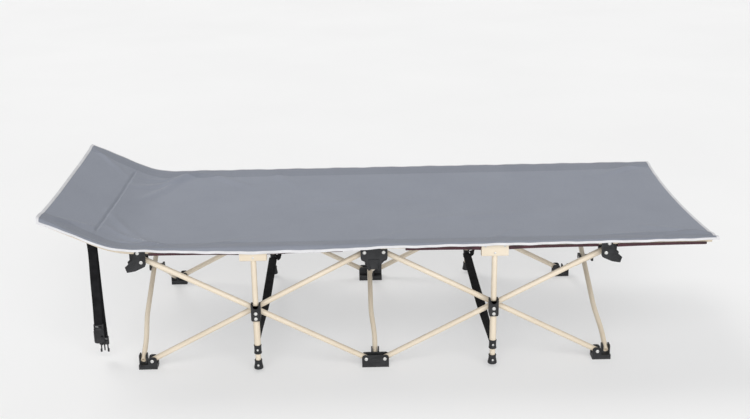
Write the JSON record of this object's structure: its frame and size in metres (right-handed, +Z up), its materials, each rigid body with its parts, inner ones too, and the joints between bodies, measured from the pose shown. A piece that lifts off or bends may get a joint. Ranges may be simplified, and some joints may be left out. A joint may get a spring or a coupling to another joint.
{
  "type": "folding cot",
  "caption": "Folding camp cot with a stretched fabric bed, raised head section and a tube frame of side and cross scissors on black plastic shoes.",
  "frame": {"origin": "on the floor, under the middle of the bed's length and width", "axes": "+Z up, +X from the head end to the tail end, +Y from the front long side to the back one"},
  "size_m": [1.9, 0.7482, 0.4925],
  "materials": {
    "tube_paint": "satin beige powder coat on steel tube",
    "black_plastic": "moulded, fine grain",
    "bed_cloth": "plain weave oxford cloth, matt",
    "webbing": "ribbed narrow webbing"
  },
  "bodies": {
    "middle_shoe_front": {"shoe_middle_front": "black_plastic", "fabric_bed": "bed_cloth", "tie_strap_head": "webbing", "tie_strap_tail": "webbing"},
    "outer_bar_head_front": {"outer_bar_head_front": "tube_paint"},
    "end_joint_head_front": {"top_joint_head_front": "black_plastic"},
    "slide_bracket_head_front": {"slide_bracket_head_front": "black_plastic", "sleeve_tube_head_front": "tube_paint"},
    "inner_bar_head_front": {"inner_bar_head_front": "tube_paint"},
    "end_shoe_head_front": {"shoe_head_front": "black_plastic"},
    "middle_joint_front": {"top_joint_middle_front": "black_plastic"},
    "post_head_front": {"post_head_front": "tube_paint", "post_foot_head_front": "black_plastic"},
    "rail_head_front": {"rail_head_front": "tube_paint"},
    "rail_inner_head_front": {"rail_inner_head_front": "tube_paint"},
    "outer_bar_tail_front": {"outer_bar_tail_front": "tube_paint"},
    "end_joint_tail_front": {"top_joint_tail_front": "black_plastic"},
    "slide_bracket_tail_front": {"slide_bracket_tail_front": "black_plastic", "sleeve_tube_tail_front": "tube_paint"},
    "inner_bar_tail_front": {"inner_bar_tail_front": "tube_paint"},
    "end_shoe_tail_front": {"shoe_tail_front": "black_plastic"},
    "post_tail_front": {"post_tail_front": "tube_paint", "post_foot_tail_front": "black_plastic"},
    "rail_tail_front": {"rail_tail_front": "tube_paint"},
    "rail_inner_tail_front": {"rail_inner_tail_front": "tube_paint"},
    "cross_bar_middle_front_foot": {"cross_bar_middle_front_foot": "tube_paint"},
    "crossing_hub_middle": {"crossing_hub_middle": "black_plastic"},
    "cross_bar_middle_back_foot": {"cross_bar_middle_back_foot": "tube_paint"},
    "middle_shoe_back": {"shoe_middle_back": "black_plastic"},
    "outer_bar_head_back": {"outer_bar_head_back": "tube_paint"},
    "end_joint_head_back": {"top_joint_head_back": "black_plastic"},
    "slide_bracket_head_back": {"slide_bracket_head_back": "black_plastic", "sleeve_tube_head_back": "tube_paint"},
    "inner_bar_head_back": {"inner_bar_head_back": "tube_paint"},
    "end_shoe_head_back": {"shoe_head_back": "black_plastic"},
    "middle_joint_back": {"top_joint_middle_back": "black_plastic"},
    "post_head_back": {"post_head_back": "tube_paint", "post_foot_head_back": "black_plastic"},
    "rail_head_back": {"rail_head_back": "tube_paint"},
    "rail_inner_head_back": {"rail_inner_head_back": "tube_paint"},
    "outer_bar_tail_back": {"outer_bar_tail_back": "tube_paint"},
    "end_joint_tail_back": {"top_joint_tail_back": "black_plastic"},
    "slide_bracket_tail_back": {"slide_bracket_tail_back": "black_plastic", "sleeve_tube_tail_back": "tube_paint"},
    "inner_bar_tail_back": {"inner_bar_tail_back": "tube_paint"},
    "end_shoe_tail_back": {"shoe_tail_back": "black_plastic"},
    "post_tail_back": {"post_tail_back": "tube_paint", "post_foot_tail_back": "black_plastic"},
    "rail_tail_back": {"rail_tail_back": "tube_paint"},
    "rail_inner_tail_back": {"rail_inner_tail_back": "tube_paint"},
    "cross_bar_head_back_foot": {"cross_bar_head_back_foot": "tube_paint"},
    "crossing_hub_head": {"crossing_hub_head": "black_plastic"},
    "cross_bar_head_front_foot": {"cross_bar_head_front_foot": "tube_paint"},
    "cross_bar_tail_back_foot": {"cross_bar_tail_back_foot": "tube_paint"},
    "crossing_hub_tail": {"crossing_hub_tail": "black_plastic"},
    "cross_bar_tail_front_foot": {"cross_bar_tail_front_foot": "tube_paint"},
    "carry_straps": {"carry_strap_long": "webbing", "carry_strap_short": "webbing", "buckle_socket": "black_plastic", "buckle_plug": "black_plastic"}
  },
  "joints": [
    {"name": "fold", "type": "hinge", "parent": "middle_shoe_front", "child": "outer_bar_head_front", "pos_m": [-0.04, -0.34, 0.026], "axis": [0, 1, 0], "range_deg": [0, 58.1], "deforming": ["fabric_bed", "tie_strap_head", "tie_strap_tail", "carry_strap_long", "carry_strap_short", "buckle_socket", "buckle_plug"]},
    {"name": "end_joint_head_front_hinge", "type": "hinge", "parent": "outer_bar_head_front", "child": "end_joint_head_front", "pos_m": [-0.664, -0.34, 0.35], "axis": [0, -1, 0], "range_deg": [0, 58.11]},
    {"name": "slide_bracket_head_front_hinge", "type": "hinge", "parent": "outer_bar_head_front", "child": "slide_bracket_head_front", "pos_m": [-0.352, -0.34, 0.188], "axis": [0, -1, 0], "range_deg": [0, 58.11]},
    {"name": "inner_bar_head_front_hinge", "type": "hinge", "parent": "outer_bar_head_front", "child": "inner_bar_head_front", "pos_m": [-0.352, -0.323, 0.188], "axis": [0, -1, 0], "range_deg": [0, 116.21]},
    {"name": "end_shoe_head_front_hinge", "type": "hinge", "parent": "inner_bar_head_front", "child": "end_shoe_head_front", "pos_m": [-0.664, -0.323, 0.026], "axis": [0, 1, 0], "range_deg": [0, 58.11]},
    {"name": "middle_joint_front_hinge", "type": "hinge", "parent": "inner_bar_head_front", "child": "middle_joint_front", "pos_m": [-0.04, -0.323, 0.35], "axis": [0, 1, 0], "range_deg": [0, 58.11]},
    {"name": "post_head_front_slide", "type": "slide", "parent": "slide_bracket_head_front", "child": "post_head_front", "axis": [0, 0, 1], "range_m": [-0.09652, 0]},
    {"name": "rail_head_front_hinge", "type": "hinge", "parent": "post_head_front", "child": "rail_head_front", "pos_m": [-0.379, -0.359, 0.38], "axis": [0, 1, 0], "range_deg": [0, 89.94]},
    {"name": "rail_inner_head_front_hinge", "type": "hinge", "parent": "post_head_front", "child": "rail_inner_head_front", "pos_m": [-0.325, -0.359, 0.38], "axis": [0, -1, 0], "range_deg": [0, 89.94]},
    {"name": "outer_bar_tail_front_hinge", "type": "hinge", "parent": "middle_shoe_front", "child": "outer_bar_tail_front", "pos_m": [0.014, -0.34, 0.026], "axis": [0, -1, 0], "range_deg": [0, 58.11]},
    {"name": "end_joint_tail_front_hinge", "type": "hinge", "parent": "outer_bar_tail_front", "child": "end_joint_tail_front", "pos_m": [0.638, -0.34, 0.35], "axis": [0, 1, 0], "range_deg": [0, 58.11]},
    {"name": "slide_bracket_tail_front_hinge", "type": "hinge", "parent": "outer_bar_tail_front", "child": "slide_bracket_tail_front", "pos_m": [0.326, -0.34, 0.188], "axis": [0, 1, 0], "range_deg": [0, 58.11]},
    {"name": "inner_bar_tail_front_hinge", "type": "hinge", "parent": "outer_bar_tail_front", "child": "inner_bar_tail_front", "pos_m": [0.326, -0.323, 0.188], "axis": [0, 1, 0], "range_deg": [0, 116.21]},
    {"name": "end_shoe_tail_front_hinge", "type": "hinge", "parent": "inner_bar_tail_front", "child": "end_shoe_tail_front", "pos_m": [0.638, -0.323, 0.026], "axis": [0, -1, 0], "range_deg": [0, 58.11]},
    {"name": "post_tail_front_slide", "type": "slide", "parent": "slide_bracket_tail_front", "child": "post_tail_front", "axis": [0, 0, 1], "range_m": [-0.09652, 0]},
    {"name": "rail_tail_front_hinge", "type": "hinge", "parent": "post_tail_front", "child": "rail_tail_front", "pos_m": [0.353, -0.359, 0.38], "axis": [0, -1, 0], "range_deg": [0, 89.94]},
    {"name": "rail_inner_tail_front_hinge", "type": "hinge", "parent": "post_tail_front", "child": "rail_inner_tail_front", "pos_m": [0.299, -0.359, 0.38], "axis": [0, 1, 0], "range_deg": [0, 89.94]},
    {"name": "cross_bar_middle_front_foot_hinge", "type": "hinge", "parent": "middle_shoe_front", "child": "cross_bar_middle_front_foot", "pos_m": [-0.013, -0.312, 0.026], "axis": [1, 0, 0], "range_deg": [0, 58.11]},
    {"name": "crossing_hub_middle_hinge", "type": "hinge", "parent": "cross_bar_middle_front_foot", "child": "crossing_hub_middle", "pos_m": [-0.013, 0, 0.188], "axis": [-1, 0, 0], "range_deg": [0, 58.11]},
    {"name": "cross_bar_middle_back_foot_hinge", "type": "hinge", "parent": "cross_bar_middle_front_foot", "child": "cross_bar_middle_back_foot", "pos_m": [-0.013, 0, 0.188], "axis": [-1, 0, 0], "range_deg": [0, 116.21]},
    {"name": "middle_shoe_back_hinge", "type": "hinge", "parent": "cross_bar_middle_back_foot", "child": "middle_shoe_back", "pos_m": [-0.013, 0.312, 0.026], "axis": [1, 0, 0], "range_deg": [0, 58.11]},
    {"name": "outer_bar_head_back_hinge", "type": "hinge", "parent": "middle_shoe_back", "child": "outer_bar_head_back", "pos_m": [-0.04, 0.34, 0.026], "axis": [0, 1, 0], "range_deg": [0, 58.11]},
    {"name": "end_joint_head_back_hinge", "type": "hinge", "parent": "outer_bar_head_back", "child": "end_joint_head_back", "pos_m": [-0.664, 0.34, 0.35], "axis": [0, -1, 0], "range_deg": [0, 58.11]},
    {"name": "slide_bracket_head_back_hinge", "type": "hinge", "parent": "outer_bar_head_back", "child": "slide_bracket_head_back", "pos_m": [-0.352, 0.34, 0.188], "axis": [0, -1, 0], "range_deg": [0, 58.11]},
    {"name": "inner_bar_head_back_hinge", "type": "hinge", "parent": "outer_bar_head_back", "child": "inner_bar_head_back", "pos_m": [-0.352, 0.323, 0.188], "axis": [0, -1, 0], "range_deg": [0, 116.21]},
    {"name": "end_shoe_head_back_hinge", "type": "hinge", "parent": "inner_bar_head_back", "child": "end_shoe_head_back", "pos_m": [-0.664, 0.323, 0.026], "axis": [0, 1, 0], "range_deg": [0, 58.11]},
    {"name": "middle_joint_back_hinge", "type": "hinge", "parent": "inner_bar_head_back", "child": "middle_joint_back", "pos_m": [-0.04, 0.323, 0.35], "axis": [0, 1, 0], "range_deg": [0, 58.11]},
    {"name": "post_head_back_slide", "type": "slide", "parent": "slide_bracket_head_back", "child": "post_head_back", "axis": [0, 0, 1], "range_m": [-0.09652, 0]},
    {"name": "rail_head_back_hinge", "type": "hinge", "parent": "post_head_back", "child": "rail_head_back", "pos_m": [-0.379, 0.359, 0.38], "axis": [0, 1, 0], "range_deg": [0, 89.94]},
    {"name": "rail_inner_head_back_hinge", "type": "hinge", "parent": "post_head_back", "child": "rail_inner_head_back", "pos_m": [-0.325, 0.359, 0.38], "axis": [0, -1, 0], "range_deg": [0, 89.94]},
    {"name": "outer_bar_tail_back_hinge", "type": "hinge", "parent": "middle_shoe_back", "child": "outer_bar_tail_back", "pos_m": [0.014, 0.34, 0.026], "axis": [0, -1, 0], "range_deg": [0, 58.11]},
    {"name": "end_joint_tail_back_hinge", "type": "hinge", "parent": "outer_bar_tail_back", "child": "end_joint_tail_back", "pos_m": [0.638, 0.34, 0.35], "axis": [0, 1, 0], "range_deg": [0, 58.11]},
    {"name": "slide_bracket_tail_back_hinge", "type": "hinge", "parent": "outer_bar_tail_back", "child": "slide_bracket_tail_back", "pos_m": [0.326, 0.34, 0.188], "axis": [0, 1, 0], "range_deg": [0, 58.11]},
    {"name": "inner_bar_tail_back_hinge", "type": "hinge", "parent": "outer_bar_tail_back", "child": "inner_bar_tail_back", "pos_m": [0.326, 0.323, 0.188], "axis": [0, 1, 0], "range_deg": [0, 116.21]},
    {"name": "end_shoe_tail_back_hinge", "type": "hinge", "parent": "inner_bar_tail_back", "child": "end_shoe_tail_back", "pos_m": [0.638, 0.323, 0.026], "axis": [0, -1, 0], "range_deg": [0, 58.11]},
    {"name": "post_tail_back_slide", "type": "slide", "parent": "slide_bracket_tail_back", "child": "post_tail_back", "axis": [0, 0, 1], "range_m": [-0.09652, 0]},
    {"name": "rail_tail_back_hinge", "type": "hinge", "parent": "post_tail_back", "child": "rail_tail_back", "pos_m": [0.353, 0.359, 0.38], "axis": [0, -1, 0], "range_deg": [0, 89.94]},
    {"name": "rail_inner_tail_back_hinge", "type": "hinge", "parent": "post_tail_back", "child": "rail_inner_tail_back", "pos_m": [0.299, 0.359, 0.38], "axis": [0, 1, 0], "range_deg": [0, 89.94]},
    {"name": "cross_bar_head_back_foot_hinge", "type": "hinge", "parent": "end_joint_head_front", "child": "cross_bar_head_back_foot", "pos_m": [-0.692, -0.312, 0.35], "axis": [-1, 0, 0], "range_deg": [0, 58.11]},
    {"name": "crossing_hub_head_hinge", "type": "hinge", "parent": "cross_bar_head_back_foot", "child": "crossing_hub_head", "pos_m": [-0.692, 0, 0.188], "axis": [1, 0, 0], "range_deg": [0, 58.11]},
    {"name": "cross_bar_head_front_foot_hinge", "type": "hinge", "parent": "cross_bar_head_back_foot", "child": "cross_bar_head_front_foot", "pos_m": [-0.692, 0, 0.188], "axis": [1, 0, 0], "range_deg": [0, 116.21]},
    {"name": "cross_bar_tail_back_foot_hinge", "type": "hinge", "parent": "end_joint_tail_front", "child": "cross_bar_tail_back_foot", "pos_m": [0.666, -0.312, 0.35], "axis": [-1, 0, 0], "range_deg": [0, 58.11]},
    {"name": "crossing_hub_tail_hinge", "type": "hinge", "parent": "cross_bar_tail_back_foot", "child": "crossing_hub_tail", "pos_m": [0.666, 0, 0.188], "axis": [1, 0, 0], "range_deg": [0, 58.11]},
    {"name": "cross_bar_tail_front_foot_hinge", "type": "hinge", "parent": "cross_bar_tail_back_foot", "child": "cross_bar_tail_front_foot", "pos_m": [0.666, 0, 0.188], "axis": [1, 0, 0], "range_deg": [0, 116.21]},
    {"name": "carry_straps_hinge", "type": "hinge", "parent": "rail_head_front", "child": "carry_straps", "pos_m": [-0.819, -0.269, 0.417], "axis": [0, -1, 0], "range_deg": [0, 89.94]}
  ],
  "couplings": [
    {"joint": "end_joint_head_front_hinge", "follows": "fold", "ratio": 1},
    {"joint": "slide_bracket_head_front_hinge", "follows": "fold", "ratio": 1},
    {"joint": "inner_bar_head_front_hinge", "follows": "fold", "ratio": 2},
    {"joint": "end_shoe_head_front_hinge", "follows": "fold", "ratio": 1},
    {"joint": "middle_joint_front_hinge", "follows": "fold", "ratio": 1},
    {"joint": "post_head_front_slide", "follows": "fold", "m_per_rad": -0.095178},
    {"joint": "rail_head_front_hinge", "follows": "fold", "ratio": 1.5479},
    {"joint": "rail_inner_head_front_hinge", "follows": "fold", "ratio": 1.5479},
    {"joint": "outer_bar_tail_front_hinge", "follows": "fold", "ratio": 1},
    {"joint": "end_joint_tail_front_hinge", "follows": "fold", "ratio": 1},
    {"joint": "slide_bracket_tail_front_hinge", "follows": "fold", "ratio": 1},
    {"joint": "inner_bar_tail_front_hinge", "follows": "fold", "ratio": 2},
    {"joint": "end_shoe_tail_front_hinge", "follows": "fold", "ratio": 1},
    {"joint": "post_tail_front_slide", "follows": "fold", "m_per_rad": -0.095178},
    {"joint": "rail_tail_front_hinge", "follows": "fold", "ratio": 1.5479},
    {"joint": "rail_inner_tail_front_hinge", "follows": "fold", "ratio": 1.5479},
    {"joint": "cross_bar_middle_front_foot_hinge", "follows": "fold", "ratio": 1},
    {"joint": "crossing_hub_middle_hinge", "follows": "fold", "ratio": 1},
    {"joint": "cross_bar_middle_back_foot_hinge", "follows": "fold", "ratio": 2},
    {"joint": "middle_shoe_back_hinge", "follows": "fold", "ratio": 1},
    {"joint": "outer_bar_head_back_hinge", "follows": "fold", "ratio": 1},
    {"joint": "end_joint_head_back_hinge", "follows": "fold", "ratio": 1},
    {"joint": "slide_bracket_head_back_hinge", "follows": "fold", "ratio": 1},
    {"joint": "inner_bar_head_back_hinge", "follows": "fold", "ratio": 2},
    {"joint": "end_shoe_head_back_hinge", "follows": "fold", "ratio": 1},
    {"joint": "middle_joint_back_hinge", "follows": "fold", "ratio": 1},
    {"joint": "post_head_back_slide", "follows": "fold", "m_per_rad": -0.095178},
    {"joint": "rail_head_back_hinge", "follows": "fold", "ratio": 1.5479},
    {"joint": "rail_inner_head_back_hinge", "follows": "fold", "ratio": 1.5479},
    {"joint": "outer_bar_tail_back_hinge", "follows": "fold", "ratio": 1},
    {"joint": "end_joint_tail_back_hinge", "follows": "fold", "ratio": 1},
    {"joint": "slide_bracket_tail_back_hinge", "follows": "fold", "ratio": 1},
    {"joint": "inner_bar_tail_back_hinge", "follows": "fold", "ratio": 2},
    {"joint": "end_shoe_tail_back_hinge", "follows": "fold", "ratio": 1},
    {"joint": "post_tail_back_slide", "follows": "fold", "m_per_rad": -0.095178},
    {"joint": "rail_tail_back_hinge", "follows": "fold", "ratio": 1.5479},
    {"joint": "rail_inner_tail_back_hinge", "follows": "fold", "ratio": 1.5479},
    {"joint": "cross_bar_head_back_foot_hinge", "follows": "fold", "ratio": 1},
    {"joint": "crossing_hub_head_hinge", "follows": "fold", "ratio": 1},
    {"joint": "cross_bar_head_front_foot_hinge", "follows": "fold", "ratio": 2},
    {"joint": "cross_bar_tail_back_foot_hinge", "follows": "fold", "ratio": 1},
    {"joint": "crossing_hub_tail_hinge", "follows": "fold", "ratio": 1},
    {"joint": "cross_bar_tail_front_foot_hinge", "follows": "fold", "ratio": 2},
    {"joint": "carry_straps_hinge", "follows": "fold", "ratio": 1.5479}
  ]
}
